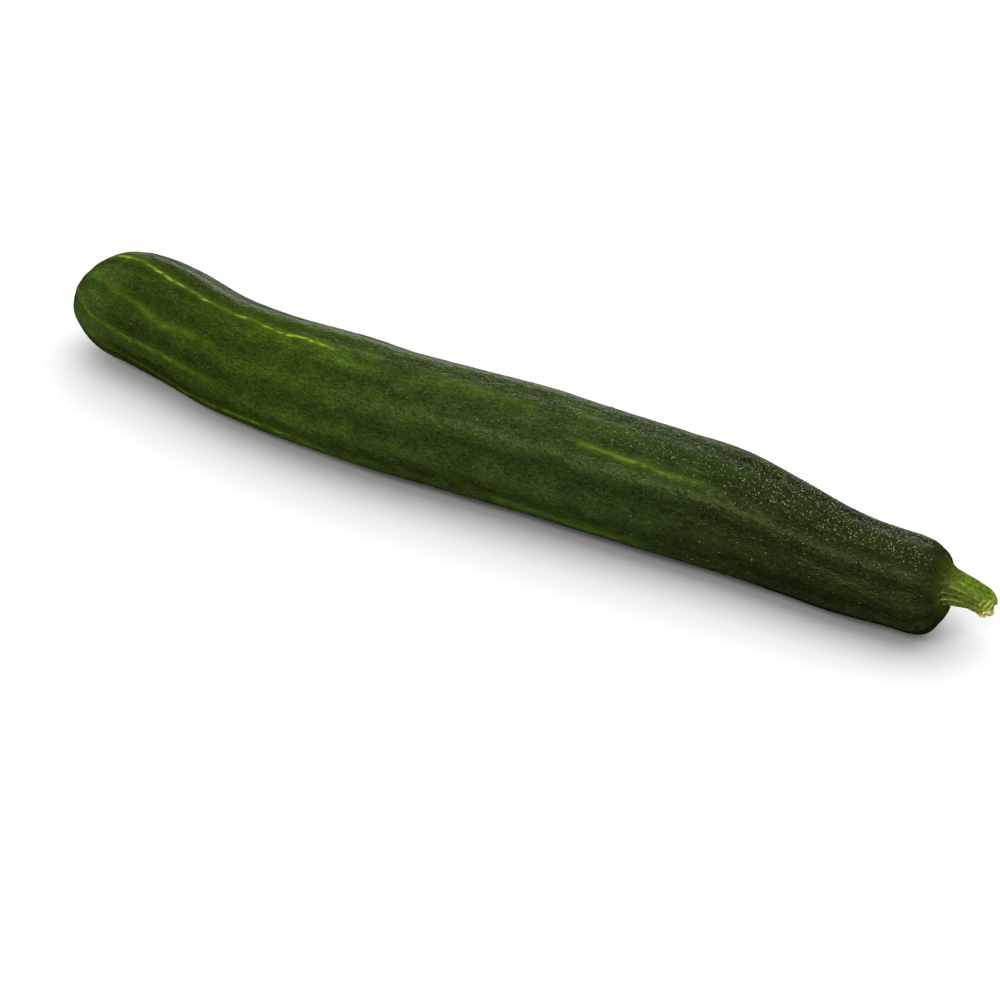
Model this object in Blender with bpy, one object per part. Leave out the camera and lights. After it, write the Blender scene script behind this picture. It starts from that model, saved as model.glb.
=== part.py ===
"""A long greenhouse cucumber as picked, lying on a table: the fruit, and the stub of stem that it hung from.

Lengths are in metres. +Z is up, the blossom end points to -X and the stem end to +X.
The origin is under the middle of the whole, on the table.
"""

import math

import bmesh
import bpy
import numpy as np

MM = 0.001
COLLECTION_NAME = "cucumber"

# The fruit, as it changes along its length. Each row is one place where it swells, narrows or bends, in mm:
# distance from the blossom end, radius, sway to the side, and height of the underside above the table.
FRUIT_LENGTH = 360.0
GROWTH = (
    (0, 18.6, 0.0, 3.5),
    (12, 19.4, 1.0, 2.7),
    (30, 21.2, 2.0, 1.5),
    (52, 21.8, -0.5, 0.5),
    (76, 21.5, -5.5, 0.0),
    (100, 21.7, -7.5, 0.2),
    (126, 22.5, -8.0, 0.6),
    (152, 22.3, -8.0, 0.9),
    (178, 22.4, -6.0, 1.0),
    (204, 22.4, -3.5, 0.9),
    (230, 22.2, -2.0, 0.5),
    (256, 21.8, 0.0, 0.0),
    (280, 21.2, 1.5, 0.0),
    (304, 18.9, 0.5, 0.7),
    (326, 16.9, -1.0, 1.4),
    (346, 16.0, -0.5, 2.4),
    (360, 15.8, -1.5, 3.0),
)

# The rounded ends: how far each reaches along the fruit, and how blunt it is (2 is an ellipse).
BLOSSOM_CAP, BLOSSOM_BLUNTNESS = 26.0, 1.8
SHOULDER_CAP, SHOULDER_BLUNTNESS = 14.5, 3.4

# The ends grow lopsided. The blossom tip sags. The stem's seat sits above the middle of the shoulder, and the
# lower side of the shoulder bulges further out than the upper side.
TIP_RISE, TIP_SWAY = -2.5, 1.0
SEAT_RISE, SEAT_SWAY = 4.6, 1.5
SHOULDER_LEAN = 0.16

# Three seed chambers make the girth a soft triangle, and ten vein bundles raise a low rib each. One lobe and one
# groove between ribs face straight up or down, so that the fruit lies on a broad place. The ribs twist a little.
LOBES, LOBE_SHARE = 3, 0.016
RIBS, RIB_HEIGHT, RIB_TWIST = 10, 0.28, 0.3

# The corky scar where the flower dropped, a small dimple on the blossom end.
SCAR_RADIUS, SCAR_DEPTH = 3.2, 0.9

# The round seat in the shoulder that the stem grows out of, and the hairline that keeps the two solids apart.
SEAT_RADIUS, SEAT_DEPTH = 6.9, 1.2
HAIRLINE = 0.3

# The weight of the fruit presses its two lowest places flat by this much.
PRESSED_FLAT = 0.45

# The mesh of the fruit: points round it, and rings along it, of which some belong to the ends and the seat.
FRUIT_SIDES = 60
FRUIT_RINGS = 70
BLOSSOM_RINGS, SHOULDER_RINGS, SEAT_RINGS = 13, 11, 2

# The stem: distance from the end of the fruit, and radius. It flares at its root and swells where it was cut.
STEM_PROFILE = (
    (0.0, 6.6),
    (1.2, 6.2),
    (2.8, 5.75),
    (5.0, 5.1),
    (7.5, 4.5),
    (10.0, 4.25),
    (12.0, 4.3),
    (13.8, 4.5),
    (15.0, 4.3),
    (15.6, 3.8),
)
# It hangs over more and more towards its cut end, by this angle there.
STEM_DROOP, STEM_DROOP_POWER = math.radians(56), 2.4
STEM_CORNERS, STEM_CORNER_SHARE = 5, 0.08
CUT_SLANT, CUT_HOLLOW, CUT_TEETH, CUT_TOOTH_HEIGHT = -1.0, 0.9, 7, 0.35
STEM_SIDES = 30
STEM_RINGS = 26

SKIN_COLOUR = (0.035, 0.082, 0.012, 1.0)
STEM_COLOUR = (0.150, 0.235, 0.030, 1.0)


underside_depth = {}


def clear_scene():
    """Remove every object of the scene that the script was started in."""
    for old in list(bpy.data.objects):
        bpy.data.objects.remove(old, do_unlink=True)


def smooth_through(places, values, at):
    """The value at a place on the smooth curve through the given points, level with them at its two ends."""
    places = np.asarray(places, float)
    values = np.asarray(values, float)
    slopes = np.gradient(values, places)
    at = float(np.clip(at, places[0], places[-1]))
    i = int(np.clip(np.searchsorted(places, at) - 1, 0, len(places) - 2))
    span = places[i + 1] - places[i]
    t = (at - places[i]) / span
    start = values[i] * (1 + 2 * t) * (1 - t) ** 2 + slopes[i] * span * t * (1 - t) ** 2
    end = values[i + 1] * t * t * (3 - 2 * t) + slopes[i + 1] * span * t * t * (t - 1)
    return float(start + end)


def growth_at(along, column):
    """One column of GROWTH at a distance from the blossom end."""
    return smooth_through([row[0] for row in GROWTH], [row[column] for row in GROWTH], along)


def rounded_end(distance, cap, bluntness):
    """Share of the full radius at a distance from a rounded end."""
    left = 1 - min(max(distance / cap, 0.0), 1.0)
    return (1 - left**bluntness) ** (1 / bluntness)


def fruit_radius(along, angle):
    """Distance from the fruit's axis to its skin, in mm. Angle 0 is to the far side, and a right angle is up."""
    ends = rounded_end(along, BLOSSOM_CAP, BLOSSOM_BLUNTNESS) * rounded_end(
        FRUIT_LENGTH - along, SHOULDER_CAP, SHOULDER_BLUNTNESS
    )
    share = along / FRUIT_LENGTH
    from_top = angle - math.pi / 2
    lobes = 1 + LOBE_SHARE * math.cos(LOBES * from_top)
    ribs = RIB_HEIGHT * math.cos(RIBS * (from_top + RIB_TWIST * (share - 0.5)) + math.pi)
    return (growth_at(along, 1) * lobes + ribs) * ends


def fruit_axis(along):
    """Sway and height of the fruit's axis, in mm, so that its underside would run at the stated height."""
    if along not in underside_depth:
        around = np.linspace(-0.75 * math.pi, -0.25 * math.pi, 41)
        full = max(along, BLOSSOM_CAP)
        full = min(full, FRUIT_LENGTH - SHOULDER_CAP)
        deepest = max(-fruit_radius(full, angle) * math.sin(angle) for angle in around)
        underside_depth[along] = deepest * growth_at(along, 1) / growth_at(full, 1)
    at_tip = max(1 - along / BLOSSOM_CAP, 0.0) ** 2
    at_seat = max(1 - (FRUIT_LENGTH - along) / SHOULDER_CAP, 0.0) ** 12
    sway = growth_at(along, 2) + TIP_SWAY * at_tip + SEAT_SWAY * at_seat
    rise = growth_at(along, 3) + TIP_RISE * at_tip + SEAT_RISE * at_seat
    return sway, rise + underside_depth[along] - PRESSED_FLAT


def fruit_point(along, angle, shifted=0.0):
    """A point of the fruit's skin, in metres, shifted by some mm towards the stem end."""
    radius = fruit_radius(along, angle)
    sway, height = fruit_axis(along)
    x = along - FRUIT_LENGTH / 2 + shifted
    return (x * MM, (sway + radius * math.cos(angle)) * MM, (height + radius * math.sin(angle)) * MM)


def fruit_ring_places():
    """Distances from the blossom end of the rings, close together where the ends turn in."""
    turn = np.linspace(0, math.pi / 2, BLOSSOM_RINGS + 1)[1:]
    blossom = BLOSSOM_CAP * (1 - np.cos(turn))
    rim_share = (SEAT_RADIUS / GROWTH[-1][1]) ** SHOULDER_BLUNTNESS
    rim_depth = 1 - (1 - rim_share) ** (1 / SHOULDER_BLUNTNESS)
    rim_turn = math.acos(1 - rim_depth)
    turn = np.linspace(math.pi / 2, rim_turn, SHOULDER_RINGS)
    shoulder = FRUIT_LENGTH - SHOULDER_CAP * (1 - np.cos(turn))
    body_rings = FRUIT_RINGS - BLOSSOM_RINGS - SHOULDER_RINGS - SEAT_RINGS
    body = np.linspace(blossom[-1], shoulder[0], body_rings + 2)[1:-1]
    return [*blossom, *body, *shoulder]


def grown_solid(name, sides, rings, place, colour, roughness):
    """A closed solid: a round primitive whose every point is carried to where place(ring, angle) says."""
    solid = bmesh.new()
    bmesh.ops.create_uvsphere(solid, u_segments=sides, v_segments=rings + 1, radius=1.0)
    for vertex in solid.verts:
        polar = math.acos(min(max(-vertex.co.z, -1.0), 1.0))
        ring = round(polar / math.pi * (rings + 1))
        vertex.co = place(ring, math.atan2(vertex.co.y, vertex.co.x))
    bmesh.ops.recalc_face_normals(solid, faces=solid.faces[:])
    mesh = bpy.data.meshes.new(name)
    solid.to_mesh(mesh)
    solid.free()
    mesh.shade_smooth()
    material = bpy.data.materials.new(name + "_surface")
    material.use_nodes = True
    surface = material.node_tree.nodes["Principled BSDF"]
    surface.inputs["Base Color"].default_value = colour
    surface.inputs["Roughness"].default_value = roughness
    surface.inputs["Metallic"].default_value = 0.0
    material.diffuse_color = colour
    mesh.materials.append(material)
    made = bpy.data.objects.new(name, mesh)
    bpy.data.collections[COLLECTION_NAME].objects.link(made)
    return made


def press_flat(fruit):
    """Cut the fruit off at the table's surface, which leaves the small flat spots that it rests on."""
    solid = bmesh.new()
    solid.from_mesh(fruit.data)
    cut = bmesh.ops.bisect_plane(
        solid,
        geom=solid.verts[:] + solid.edges[:] + solid.faces[:],
        dist=1e-7,
        plane_co=(0, 0, 0),
        plane_no=(0, 0, -1),
        clear_outer=True,
    )
    rim = [edge for edge in cut["geom_cut"] if isinstance(edge, bmesh.types.BMEdge)]
    for vertex in {v for edge in rim for v in edge.verts}:
        vertex.co.z = 0.0
    bmesh.ops.holes_fill(solid, edges=rim, sides=0)
    bmesh.ops.recalc_face_normals(solid, faces=solid.faces[:])
    solid.to_mesh(fruit.data)
    solid.free()


def make_fruit():
    """The fruit, from the scar at its blossom end to the seat of the stem in its shoulder."""
    places = fruit_ring_places()
    rim = places[-1]
    rim_sway, rim_height = fruit_axis(rim)

    def seat_point(radius, depth, angle):
        x = rim - FRUIT_LENGTH / 2 - depth
        y = rim_sway + radius * math.cos(angle)
        z = rim_height + radius * math.sin(angle)
        return (x * MM, y * MM, z * MM)

    def place(ring, angle):
        if ring == 0:
            return fruit_point(0.0, angle, shifted=SCAR_DEPTH)
        if ring < len(places):
            along = places[ring - 1]
            radius = fruit_radius(along, angle)
            if along < FRUIT_LENGTH / 2:
                return fruit_point(along, angle, shifted=SCAR_DEPTH * math.exp(-((radius / SCAR_RADIUS) ** 2)))
            into_shoulder = max(1 - (FRUIT_LENGTH - along) / SHOULDER_CAP, 0.0)
            lean = SHOULDER_LEAN * into_shoulder * (radius - SEAT_RADIUS)
            return fruit_point(along, angle, shifted=-lean * math.sin(angle))
        if ring == len(places):
            return seat_point(SEAT_RADIUS, 0.0, angle)
        share = (FRUIT_RINGS + 1 - ring) / SEAT_RINGS
        return seat_point(SEAT_RADIUS * share, SEAT_DEPTH, angle)

    fruit = grown_solid("fruit", FRUIT_SIDES, FRUIT_RINGS, place, SKIN_COLOUR, 0.36)
    press_flat(fruit)
    return fruit


def stem_line(length):
    """Where the stem's middle is at a distance from the end of the fruit, as run, fall and droop angle."""
    steps = 60
    run, fall, droop = min(length, 0.0), 0.0, 0.0
    for step in range(steps):
        share = max(length, 0.0) * (step + 0.5) / steps / STEM_PROFILE[-1][0]
        droop = STEM_DROOP * share**STEM_DROOP_POWER
        run += max(length, 0.0) / steps * math.cos(droop)
        fall += max(length, 0.0) / steps * math.sin(droop)
    return run, fall, droop


def make_stem():
    """The stub of stem: a five-cornered stalk that flares onto the fruit and ends in a ragged, hollowed cut."""
    rim = fruit_ring_places()[-1]
    root_sway, root_height = fruit_axis(rim)
    profile_s = [row[0] for row in STEM_PROFILE]
    profile_r = [row[1] for row in STEM_PROFILE]
    length = profile_s[-1]
    root_rings, cut_rings = 2, 3
    side_rings = STEM_RINGS - root_rings - cut_rings
    lines = {}

    def point(s, radius, angle):
        if s not in lines:
            lines[s] = stem_line(s)
        run, fall, droop = lines[s]
        grown = min(max(s / 5, 0.0), 1.0)
        r = radius * (1 + STEM_CORNER_SHARE * grown * math.cos(STEM_CORNERS * angle))
        x = rim - FRUIT_LENGTH / 2 + run + r * math.sin(angle) * math.sin(droop)
        y = root_sway + r * math.cos(angle)
        z = root_height - fall + r * math.sin(angle) * math.cos(droop)
        return (x * MM, y * MM, z * MM)

    def place(ring, angle):
        floor = -SEAT_DEPTH + HAIRLINE
        if ring == 0:
            return point(floor, 0.0, angle)
        if ring <= root_rings:
            return point(floor, profile_r[0] * ring / root_rings, angle)
        slant = CUT_SLANT * math.sin(angle)
        if ring <= root_rings + side_rings:
            share = (ring - root_rings) / side_rings
            s = length * share
            tooth = CUT_TOOTH_HEIGHT * math.cos(CUT_TEETH * angle) * share**12
            return point(s + slant * share**6 + tooth, smooth_through(profile_s, profile_r, s), angle)
        share = (ring - root_rings - side_rings) / (cut_rings + 1)
        hollow = CUT_HOLLOW * math.sin(math.pi / 2 * share)
        return point(length - hollow + slant * (1 - share), profile_r[-1] * (1 - share), angle)

    return grown_solid("stem", STEM_SIDES, STEM_RINGS, place, STEM_COLOUR, 0.5)


def stand_on_origin(parts):
    """Move the whole so that the origin lies under the middle of its box."""
    corners = np.array([vertex.co for part in parts for vertex in part.data.vertices])
    middle = (corners.min(axis=0) + corners.max(axis=0)) / 2
    for part in parts:
        for vertex in part.data.vertices:
            vertex.co.x -= middle[0]
            vertex.co.y -= middle[1]


def main():
    clear_scene()
    collection = bpy.data.collections.new(COLLECTION_NAME)
    bpy.context.scene.collection.children.link(collection)
    stand_on_origin([make_fruit(), make_stem()])


main()
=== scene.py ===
"""A long greenhouse cucumber on a pale table, dewy from the cold store, seen from above its stem end.

Lengths are in metres unless a name ends in _MM. +X points along the fruit to its stem, and +Z is up.
"""

import math

import bmesh
import bpy
import numpy as np
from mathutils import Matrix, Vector, noise
from mathutils.bvhtree import BVHTree


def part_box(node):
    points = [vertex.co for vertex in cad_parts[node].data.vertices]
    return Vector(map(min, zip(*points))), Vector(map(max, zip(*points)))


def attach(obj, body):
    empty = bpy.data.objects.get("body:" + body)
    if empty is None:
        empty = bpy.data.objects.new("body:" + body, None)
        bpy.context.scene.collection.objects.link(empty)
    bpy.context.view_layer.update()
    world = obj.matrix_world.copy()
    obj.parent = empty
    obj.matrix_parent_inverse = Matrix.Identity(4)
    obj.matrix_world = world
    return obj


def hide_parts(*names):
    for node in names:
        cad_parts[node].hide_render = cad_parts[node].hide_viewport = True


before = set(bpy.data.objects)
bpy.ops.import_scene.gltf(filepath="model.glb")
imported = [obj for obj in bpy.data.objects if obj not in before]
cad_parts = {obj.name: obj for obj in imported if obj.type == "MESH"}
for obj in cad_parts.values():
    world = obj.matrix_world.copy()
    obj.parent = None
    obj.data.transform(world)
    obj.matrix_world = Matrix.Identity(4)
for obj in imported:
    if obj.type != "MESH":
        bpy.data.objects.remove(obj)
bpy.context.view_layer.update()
MM = 0.001

# The skin. A thin, tight rind over the flesh of the fruit, dark green with a dull wax bloom, in one closed
# piece from the scar where the flower dropped to the shoulder that the stem grows out of. It lies on the
# fruit's solid, with the relief that growing gave it: ribs, shallow dents, sunken streaks, lines at the neck.

SKIN_SEGMENTS = 360
TIP_RINGS, BODY_RINGS, SHOULDER_RINGS = 40, 192, 38
SKIN_RINGS = TIP_RINGS + BODY_RINGS + SHOULDER_RINGS
TIP_ARC_MM, SHOULDER_ARC_MM = 36.0, 22.0
TIP_CAP_MM, SHOULDER_CAP_MM = 26.0, 14.5
GIRTH_RADIUS_MM = 22.0

# Yellow-green streaks run up from the scar of the flower, over the veins. Each has its course, in mm from the
# blossom end with the angle in degrees round the fruit there, then its half width in mm and how strongly it
# shows. Angle 0 faces the far side and 90 faces up.
STREAKS = (
    (((10, 84), (24, 89), (31, 91), (38, 93), (49, 97.5), (62, 98), (72, 99.5), (82, 100.5), (89, 97.5),
      (97, 100), (106, 103), (114, 101), (120, 102.5), (128, 104), (138, 103)), 0.56, 1.0),
    (((32, 92), (36, 92.5), (42, 94)), 1.1, 0.5),
    (((122, 109), (130, 113), (138, 114.5), (150, 112)), 0.6, 0.5),
    (((126, 100), (133, 98), (142, 95), (156, 96)), 0.7, 0.3),
    (((6, 117), (14, 121.5), (26, 131), (35, 137), (43, 138), (49, 141.5), (56, 144.5), (66, 140),
      (84, 138)), 1.25, 0.36),
    (((5, 152), (11, 157), (17, 166), (24, 171), (40, 176), (62, 174), (90, 177)), 0.8, 0.5),
    (((208, 80), (222, 92), (234, 99), (252, 100)), 1.8, 0.16),
    (((222, 122), (237, 125), (244, 125.5), (251, 125), (258, 128), (265, 128), (272, 127.5),
      (284, 130)), 0.9, 0.5),
    (((160, 100), (176, 101), (196, 104), (214, 106)), 1.5, 0.2),
    (((10, 197), (30, 204), (60, 209), (100, 206), (134, 210)), 0.7, 0.55),
    (((9, 232), (34, 240), (70, 243), (112, 247), (150, 244)), 0.7, 0.5),
    (((12, 271), (40, 276), (82, 280), (118, 277)), 0.8, 0.5),
    (((9, 306), (30, 311), (66, 316), (104, 312), (142, 315), (160, 313)), 0.6, 0.6),
    (((11, 340), (36, 346), (74, 350), (118, 347)), 0.7, 0.5),
    (((10, 16), (28, 20), (62, 25), (96, 22), (128, 26)), 0.7, 0.55),
    (((13, 52), (36, 57), (66, 60), (90, 58), (120, 62)), 0.7, 0.4),
    (((196, 205), (228, 208), (262, 206)), 1.2, 0.25),
    (((180, 318), (214, 314), (250, 316)), 1.2, 0.25),
    (((206, 24), (236, 21), (258, 23)), 1.2, 0.25),
)


def deselect_everything():
    """Clear the selection, because an operator acts on all that is selected."""
    if bpy.context.object and bpy.context.object.mode != "OBJECT":
        bpy.ops.object.mode_set(mode="OBJECT")
    bpy.ops.object.select_all(action="DESELECT")


def solid_surface(node):
    """The surface of one of the solids, for rays to be cast at."""
    copy = bmesh.new()
    copy.from_mesh(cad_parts[node].data)
    bmesh.ops.remove_doubles(copy, verts=copy.verts, dist=1e-6)
    surface = BVHTree.FromBMesh(copy)
    copy.free()
    return surface


def blurred(values, sigma, axis, wrap):
    """Values with a Gaussian blur along one axis, in samples."""
    reach = max(int(3 * sigma), 1)
    weights = np.exp(-0.5 * (np.arange(-reach, reach + 1) / sigma) ** 2)
    weights = weights / weights.sum()
    total = np.zeros_like(values)
    for offset, weight in zip(range(-reach, reach + 1), weights):
        if wrap:
            total += weight * np.roll(values, offset, axis=axis)
        else:
            places = np.clip(np.arange(values.shape[axis]) + offset, 0, values.shape[axis] - 1)
            total += weight * np.take(values, places, axis=axis)
    return total


fruit_surface = solid_surface("fruit")
fruit_low, fruit_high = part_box("fruit")
stem_low, stem_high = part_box("stem")
tip_x, rim_x = fruit_low.x, fruit_high.x
angles = np.arange(SKIN_SEGMENTS) * 2 * math.pi / SKIN_SEGMENTS

# The middle of the fruit at places along it, from rays cast outwards to its surface from near that middle.
MIDDLES = 60
RAYS_FROM_Z = 0.018
middle_x = np.linspace(tip_x + TIP_CAP_MM * MM, rim_x - SHOULDER_CAP_MM * MM, MIDDLES)
middle_yz = []
for x in middle_x:
    reach = []
    start = Vector((x, 0.0, RAYS_FROM_Z))
    for angle in np.arange(0, 2 * math.pi, math.pi / 24):
        hit = fruit_surface.ray_cast(start, Vector((0, math.cos(angle), math.sin(angle))))[0]
        reach.append((hit.y, hit.z))
    reach = np.array(reach)
    middle_yz.append((reach.max(axis=0) + reach.min(axis=0)) / 2)
middle_yz = blurred(np.array(middle_yz), 1.2, 0, False)

# The rings, evenly apart over the skin. Their rays turn from straight back at the tip to straight on at the
# shoulder.
body_mm = (middle_x[-1] - middle_x[0]) / MM
arc_mm = np.interp(
    np.arange(SKIN_RINGS + 1),
    (0, TIP_RINGS, TIP_RINGS + BODY_RINGS, SKIN_RINGS),
    (0, TIP_ARC_MM, TIP_ARC_MM + body_mm, TIP_ARC_MM + body_mm + SHOULDER_ARC_MM),
)
ring_x = np.interp(arc_mm, (TIP_ARC_MM, TIP_ARC_MM + body_mm), (middle_x[0], middle_x[-1]))
into_tip = np.clip(1 - arc_mm / TIP_ARC_MM, 0, 1)
into_shoulder = np.clip((arc_mm - TIP_ARC_MM - body_mm) / SHOULDER_ARC_MM, 0, 1)
ring_turn = (into_shoulder - into_tip) * math.pi / 2
ring_y = np.interp(ring_x, middle_x, middle_yz[:, 0])
ring_z = np.interp(ring_x, middle_x, middle_yz[:, 1])
starts = np.stack([ring_x, ring_y, ring_z], axis=1)
ways = np.zeros((SKIN_RINGS + 1, SKIN_SEGMENTS, 3))
ways[:, :, 0] = np.sin(ring_turn)[:, None]
ways[:, :, 1] = np.cos(ring_turn)[:, None] * np.cos(angles)
ways[:, :, 2] = np.cos(ring_turn)[:, None] * np.sin(angles)

# How far each ray goes. The skin has no seat under the stem: it closes on the plane through the seat's rim.
# Blurs, in samples round and along, take the solid's flat faces out of the skin.
SEAT_RADIUS_MM, SEAT_RIM_MM = 7.1, 0.9
AT_SHOULDER = 0.2
BLUR_ROUND, BLUR_ALONG_ENDS, BLUR_ALONG_BODY = 4.0, 2.0, 2.8
root_points = [v.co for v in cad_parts["stem"].data.vertices if v.co.x < stem_low.x + 0.1 * MM]
stem_root = sum(root_points, Vector()) / len(root_points)
reach = np.zeros((SKIN_RINGS + 1, SKIN_SEGMENTS))
in_seat = np.zeros((SKIN_RINGS + 1, SKIN_SEGMENTS), bool)
near_seat = []
for ring in range(SKIN_RINGS + 1):
    start = Vector(starts[ring])
    for segment in range(SKIN_SEGMENTS):
        hit, _, _, distance = fruit_surface.ray_cast(start, Vector(ways[ring, segment]))
        reach[ring, segment] = distance
        from_axis = math.hypot(hit.y - stem_root.y, hit.z - stem_root.z) / MM
        if into_shoulder[ring] <= AT_SHOULDER:
            continue
        in_seat[ring, segment] = from_axis < SEAT_RADIUS_MM
        if SEAT_RADIUS_MM < from_axis < SEAT_RADIUS_MM + SEAT_RIM_MM:
            near_seat.append((1.0, hit.y, hit.z, hit.x))
near_seat = np.array(near_seat)
plane = np.linalg.lstsq(near_seat[:, :3], near_seat[:, 3], rcond=None)[0]
to_plane = plane[0] + plane[1] * starts[:, 1] + plane[2] * starts[:, 2] - starts[:, 0]
closing = ways[:, :, 0] - plane[1] * ways[:, :, 1] - plane[2] * ways[:, :, 2]
reach = np.where(in_seat, to_plane[:, None] / np.maximum(closing, 0.05), reach)
reach = blurred(reach, BLUR_ROUND, 1, True)
tight = blurred(reach, BLUR_ALONG_ENDS, 0, False)
loose = blurred(reach, BLUR_ALONG_BODY, 0, False)
at_ends = np.clip(np.maximum(into_tip * 2, into_shoulder * 6), 0, 1)[:, None]
reach = loose * (1 - at_ends) + tight * at_ends
reach[0] = reach[0].mean()
reach[-1] = reach[-1].mean()

# Where each point of the skin is along the fruit and round it, and how much of a streak it carries. A streak
# wanders and breaks into beads with two noises, and has a wider halo of milder green.
STREAK_START_MM, STREAK_END_MM = 9, 14
HALO_WIDTHS = 3.6
on_skin = starts[:, None, :] + ways * reach[:, :, None]
along_mm = (on_skin[:, :, 0] - tip_x) / MM
fruit_mm = (rim_x - tip_x) / MM
streak = np.zeros_like(reach)
halo = np.zeros_like(reach)
degrees = np.degrees(angles)[None, :] + np.zeros_like(reach)
wander = np.zeros_like(reach)
fleck = np.zeros_like(reach)
for ring in range(SKIN_RINGS + 1):
    for segment in range(SKIN_SEGMENTS):
        angle = angles[segment]
        place = Vector((along_mm[ring, segment] / 7, math.cos(angle) * 3, math.sin(angle) * 3))
        wander[ring, segment] = noise.noise(place)
        fleck[ring, segment] = noise.noise(place * 4.0)
kink = 1.8 * wander + 2.0 * fleck
beaded = np.clip(0.74 + 1.1 * fleck + 0.9 * wander, 0.38, 1.2)
for points, half_width_mm, strength in STREAKS:
    distances = [point[0] for point in points]
    course = np.interp(along_mm, distances, [point[1] for point in points])
    away = (degrees - course - kink + 180) % 360 - 180
    away_mm = np.radians(away) * GIRTH_RADIUS_MM
    begins = np.clip((along_mm - distances[0]) / STREAK_START_MM, 0, 1)
    ends = begins * np.clip((distances[-1] - along_mm) / STREAK_END_MM, 0, 1)
    line = strength * ends * beaded * np.exp(-((away_mm / half_width_mm) ** 2))
    streak = np.maximum(streak, line)
    halo = np.maximum(halo, strength * ends * np.exp(-((away_mm / (half_width_mm * HALO_WIDTHS)) ** 2)))

# The relief, in mm outwards: dents, bumps, ribs, fine lines over the last of the neck, sunken streaks, a low
# collar round the stem's root with the stem's ridges in it, and the fuller and flatter side of the shoulder.
DENT_HEIGHT_MM, BUMP_HEIGHT_MM = 0.34, 0.045
RIBS, RIB_HEIGHT_MM = 10, 0.14
RIB_TWIST, TWIST_OVER_MM = 0.3, 360
NECK_MM, NECK_LINES, NECK_LINE_HEIGHT_MM = 34, 34, 0.035
STREAK_DEPTH_MM = 0.07
COLLAR_RADIUS_MM, COLLAR_WIDTH_MM, COLLAR_HEIGHT_MM = 6.4, 5.2, 0.10
ROOT_RIDGES, ROOT_RIDGE_HEIGHT_MM = 15, 0.16
SHOULDER_RADIUS_MM, SHOULDER_WIDTH_MM = 9.0, 3.6
FULL_SIDE_MM, FULL_SIDE_AT = 1.3, math.radians(255)
FLAT_SIDE_MM, FLAT_SIDE_AT = 1.1, math.radians(15)
TIP_FADE_RINGS, SHOULDER_FADE_RINGS = 14, 6
relief = np.zeros_like(reach)
near_stem = np.clip(1 - (fruit_mm - along_mm) / NECK_MM, 0, 1)
for ring in range(SKIN_RINGS + 1):
    for segment in range(SKIN_SEGMENTS):
        angle = angles[segment]
        place = Vector((along_mm[ring, segment] / 26, math.cos(angle) * 1.6, math.sin(angle) * 1.6))
        dent = noise.noise(place + Vector((7.1, 0, 0)))
        bumpy = noise.noise(Vector((along_mm[ring, segment] / 3.4, math.cos(angle) * 8, math.sin(angle) * 8)))
        relief[ring, segment] += DENT_HEIGHT_MM * dent + BUMP_HEIGHT_MM * bumpy
twist = RIB_TWIST * (along_mm / TWIST_OVER_MM - 0.5)
rib = np.cos(RIBS * (angles - math.pi / 2 + twist) + math.pi + 1.1 * wander)
relief += RIB_HEIGHT_MM * rib
relief += NECK_LINE_HEIGHT_MM * near_stem * np.cos(NECK_LINES * angles + 2.0 * wander)
relief -= STREAK_DEPTH_MM * streak
beside_root = on_skin - np.array(stem_root)
root_angle = np.arctan2(beside_root[:, :, 2], beside_root[:, :, 1])
from_root_mm = np.linalg.norm(beside_root, axis=2) / MM
collar = np.clip(1 - (from_root_mm - COLLAR_RADIUS_MM) / COLLAR_WIDTH_MM, 0, 1) ** 1.5
root_ridge = np.cos(ROOT_RIDGES * root_angle + 1.2 * wander)
relief += COLLAR_HEIGHT_MM * collar + ROOT_RIDGE_HEIGHT_MM * collar * root_ridge
ring_round_root = np.exp(-(((from_root_mm - SHOULDER_RADIUS_MM) / SHOULDER_WIDTH_MM) ** 2))
relief += FULL_SIDE_MM * ring_round_root * np.clip(np.cos(root_angle - FULL_SIDE_AT), 0, 1) ** 2
relief -= FLAT_SIDE_MM * ring_round_root * np.clip(np.cos(root_angle - FLAT_SIDE_AT), 0, 1) ** 2
ring_numbers = np.arange(SKIN_RINGS + 1)
from_poles = np.minimum(ring_numbers / TIP_FADE_RINGS, (SKIN_RINGS - ring_numbers) / SHOULDER_FADE_RINGS)
relief *= np.clip(from_poles, 0, 1)[:, None]

# The scar of the flower: a corky dimple with a low rim, 6 mm across.
SCAR_RADIUS_MM, SCAR_DEPTH_MM, SCAR_RIM_HEIGHT_MM = 3.0, 0.55, 0.22
from_tip_mm = np.linalg.norm(on_skin - on_skin[0].mean(axis=0), axis=2) / MM
scar_edge_mm = SCAR_RADIUS_MM + 0.5 * fleck
relief -= SCAR_DEPTH_MM * np.clip(1 - (from_tip_mm / scar_edge_mm) ** 2, 0, 1)
relief += SCAR_RIM_HEIGHT_MM * np.exp(-(((from_tip_mm - scar_edge_mm - 0.4) / 0.6) ** 2))
scar = np.clip((scar_edge_mm - from_tip_mm) / 0.5 + 0.5, 0, 1)
on_skin = on_skin + ways * relief[:, :, None] * MM
on_skin[:, :, 2] = np.maximum(on_skin[:, :, 2], 0.0)

deselect_everything()
bpy.ops.mesh.primitive_uv_sphere_add(segments=SKIN_SEGMENTS, ring_count=SKIN_RINGS, radius=1.0)
skin = bpy.context.object
skin.name = "skin"
local = np.array([vertex.co for vertex in skin.data.vertices])
ring_of = np.rint(np.arccos(np.clip(-local[:, 2], -1, 1)) / math.pi * SKIN_RINGS).astype(int)
turns = np.arctan2(local[:, 1], local[:, 0]) / (2 * math.pi)
segment_of = np.rint(turns * SKIN_SEGMENTS).astype(int) % SKIN_SEGMENTS
skin.data.vertices.foreach_set("co", on_skin[ring_of, segment_of].ravel())
skin.data.update()
bpy.ops.object.shade_smooth()

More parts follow.
